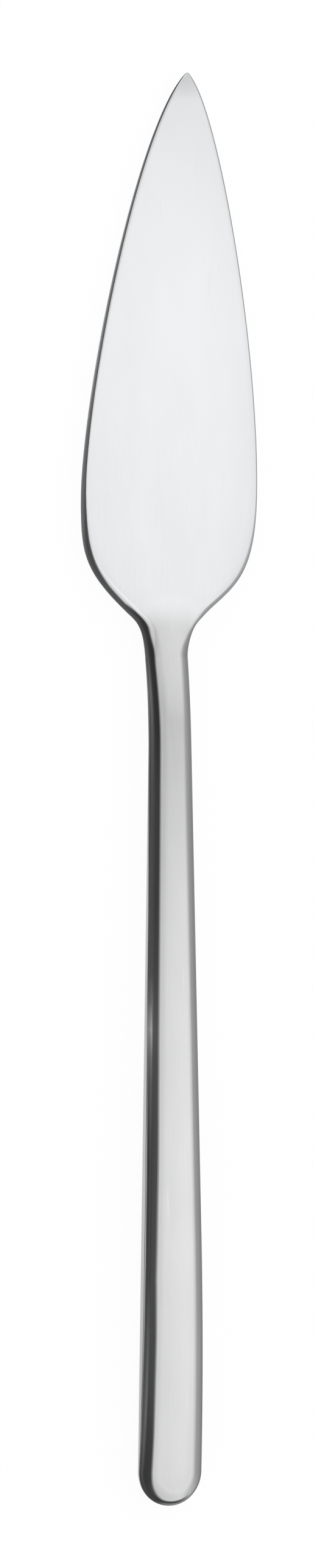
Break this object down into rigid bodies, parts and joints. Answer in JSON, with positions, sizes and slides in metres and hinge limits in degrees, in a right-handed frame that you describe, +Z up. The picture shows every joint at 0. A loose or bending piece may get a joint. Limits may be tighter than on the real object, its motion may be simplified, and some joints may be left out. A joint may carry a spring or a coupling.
{
  "type": "fish knife",
  "caption": "Plain steel fish knife: flat leaf-shaped blade with an off-centre point, slim neck, and a long tapered hollow handle with a rounded end.",
  "frame": {"origin": "middle of the knife's outline on the surface that it lies on, under the axis of the handle", "axes": "+Y along the handle towards the blade's tip, +X across the blade towards the side of its point, +Z up from the surface"},
  "size_m": [0.027, 0.21, 0.0067],
  "materials": {
    "blade_steel": "polished",
    "handle_steel": "polished",
    "braze": "satin",
    "cement": "matte"
  },
  "bodies": {
    "root": {"blade": "blade_steel", "handle_upper_shell": "handle_steel", "handle_lower_shell": "handle_steel", "seam_braze": "braze", "handle_filler": "cement"}
  },
  "joints": []
}
